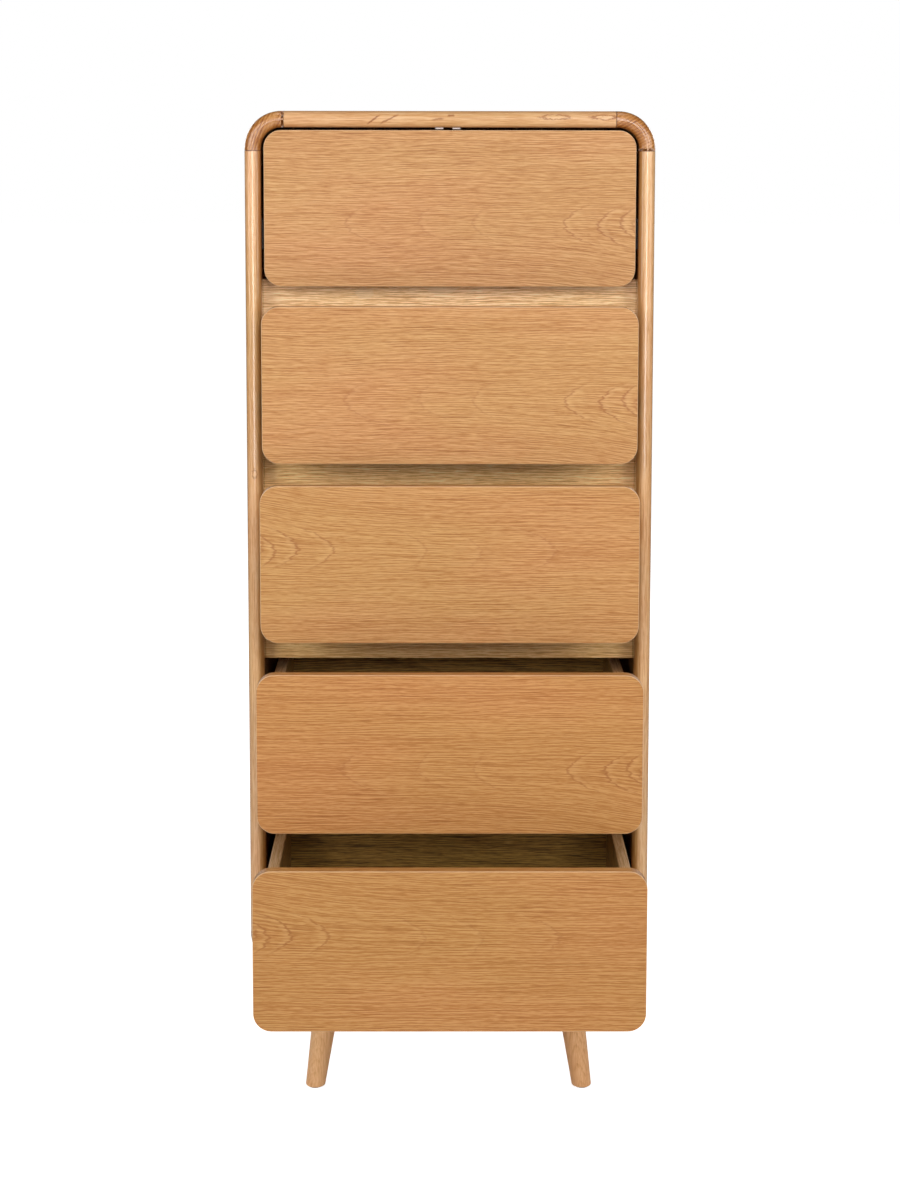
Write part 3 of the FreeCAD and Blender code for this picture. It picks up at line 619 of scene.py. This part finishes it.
def leg_materials():
    for number, place in enumerate(("front_left", "front_right", "rear_left", "rear_right")):
        node = f"leg_{place}"
        # The right front leg is tinted darker and redder: painted shade, as less light reaches it than the
        # left one.
        tint = (1.08, 0.99, 0.94, 1) if place == "front_right" else (1.12, 1.08, 1.08, 1)
        clothe(node, oak(
            node, "Z", "X", middle_of(node), BLOND, pith=(0.03, 0.09), slope=(0.08, 0.0), ring=0.004,
            ring_depth=0.2, streak_depth=0.24, leaf=100.0 + number, tint=tint, gloss=0.34))


def hardware_materials():
    black_steel = coated_steel("black_slide_steel", srgb(34, 33, 32))
    clothe("slide_case_members", black_steel)
    for number in DRAWERS:
        clothe(f"slide_{number}_middle_members", black_steel)
        clothe(f"slide_{number}_drawer_members", black_steel)
    screws = metal("zinc_screws", srgb(206, 204, 196), 0.32)
    for node in ("back_panel_screws", "leg_plate_screws", "leg_bolts"):
        clothe(node, screws)
    clothe("leg_plates", coated_steel("powder_coat", srgb(38, 37, 36)))
    clothe("foot_glides", soft_pad("glide_felt", srgb(92, 74, 58), 900.0))
    clothe("closing_buffers", soft_pad("buffer_rubber", srgb(176, 160, 152), 700.0))


case_materials()
drawer_materials()
leg_materials()
hardware_materials()

# ---------------------------------------------------------------- floor, light and camera


def pale_floor():
    """A wide pale floor. A glow that only the camera sees makes it near white, as in a studio photo."""
    half = 30.0
    corners = [(-half, -half, 0), (half, -half, 0), (half, half, 0), (-half, half, 0)]
    mesh = bpy.data.meshes.new("floor")
    mesh.from_pydata(corners, [], [(0, 1, 2, 3)])
    floor = bpy.data.objects.new("floor", mesh)
    bpy.context.scene.collection.objects.link(floor)
    g = Graph("floor_paint")
    cloud = g.noise(g.place, (1.3, 1.3, 1.3), 2.0, 0.5, 1.0)
    g.finish(g.mix(cloud, (0.84, 0.84, 0.84, 1), (0.88, 0.88, 0.88, 1)), 0.9, Specular_IOR_Level=0.1)
    away = g.reach(*g.place[:2])
    glow = g.tree.nodes.new("ShaderNodeEmission")
    seen = g.tree.nodes.new("ShaderNodeLightPath").outputs["Is Camera Ray"]
    g.put(glow.inputs["Strength"], g.math("MULTIPLY", g.span(away, 0.4, 2.4, 0.85, 1.0), seen))
    both = g.tree.nodes.new("ShaderNodeAddShader")
    g.put(both.inputs[0], g.shader.outputs[0])
    g.put(both.inputs[1], glow.outputs[0])
    g.put(g.tree.nodes["Material Output"].inputs["Surface"], both.outputs[0])
    mesh.materials.append(g.material)


def softbox(name, place, target, width, height, power):
    """A square-cornered area light that points at target."""
    light = bpy.data.lights.new(name, "AREA")
    light.shape = "RECTANGLE"
    light.size, light.size_y = width, height
    light.energy = power
    lamp = bpy.data.objects.new(name, light)
    bpy.context.scene.collection.objects.link(lamp)
    lamp.location = place
    lamp.rotation_euler = (Vector(target) - lamp.location).to_track_quat("-Z", "Y").to_euler()


def studio_light():
    """Soft boxes in front, overhead, to both sides and behind, in a dim room that the camera sees as
    white."""
    softbox("key_upper", (0.1, -3.4, 2.4), (0, 0, 0.9), 0.9, 1.2, 11)
    softbox("key_lower", (0.1, -3.4, 1.95), (0, 0, 0.9), 0.9, 1.1, 16)
    softbox("overhead", (0.0, -0.6, 3.8), (0, 0, 0.6), 1.6, 1.6, 15)
    for side, x in (("left", -1), ("right", 1)):
        softbox(f"front_{side}", (1.8 * x, -2.9, 2.1), (0, 0, 0.9), 1.1, 1.5, 33)
        softbox(f"strip_{side}", (0.58 * x, -3.9, 1.0), (0, 0, 1.0), 0.16, 1.2, 6)
        softbox(f"side_{side}", (3.0 * x, -2.0, 1.8), (0, 0, 0.9), 1.2, 1.8, 22)
        softbox(f"back_{side}", (2.6 * x, 3.4, 2.2), (0, 0, 0.8), 1.6, 1.6, 36)
    world = bpy.data.worlds.new("studio")
    world.use_nodes = True
    tree = world.node_tree
    room = tree.nodes["Background"]
    room.inputs["Color"].default_value = (1, 1, 1, 1)
    room.inputs["Strength"].default_value = 0.05
    backdrop = tree.nodes.new("ShaderNodeBackground")
    backdrop.inputs["Color"].default_value = (1, 1, 1, 1)
    backdrop.inputs["Strength"].default_value = 1.0
    seen = tree.nodes.new("ShaderNodeLightPath").outputs["Is Camera Ray"]
    either = tree.nodes.new("ShaderNodeMixShader")
    tree.links.new(seen, either.inputs[0])
    tree.links.new(room.outputs[0], either.inputs[1])
    tree.links.new(backdrop.outputs[0], either.inputs[2])
    tree.links.new(either.outputs[0], tree.nodes["World Output"].inputs["Surface"])
    bpy.context.scene.world = world


def photo_camera():
    """The photograph's view: a long lens at the height of the case's top, tipped down a little."""
    distance, aside, below_top = 3.546, -0.0139, 0.0062
    front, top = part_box("drawer_1_front")[0].y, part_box("top_panel")[1].z
    place = Vector((aside, front - distance, top - below_top))
    tip = math.radians(6.70)
    pan = math.radians(0.233)
    roll = math.radians(0.083)
    data = bpy.data.cameras.new("camera")
    data.sensor_width = 36.0
    data.lens = 72.7
    data.shift_y = -1 / 6
    data.clip_end = 100.0
    camera = bpy.data.objects.new("camera", data)
    bpy.context.scene.collection.objects.link(camera)
    ahead = Vector((math.sin(pan) * math.cos(tip), math.cos(pan) * math.cos(tip), -math.sin(tip)))
    level = Vector((math.cos(pan), -math.sin(pan), 0))
    upright = level.cross(ahead)
    right = level * math.cos(roll) + upright * math.sin(roll)
    up = right.cross(ahead)
    turn = Matrix((right, up, -ahead)).transposed()
    camera.matrix_world = Matrix.Translation(place) @ turn.to_4x4()
    bpy.context.scene.camera = camera


pale_floor()
studio_light()
photo_camera()
bpy.context.scene.view_settings.view_transform = "Standard"
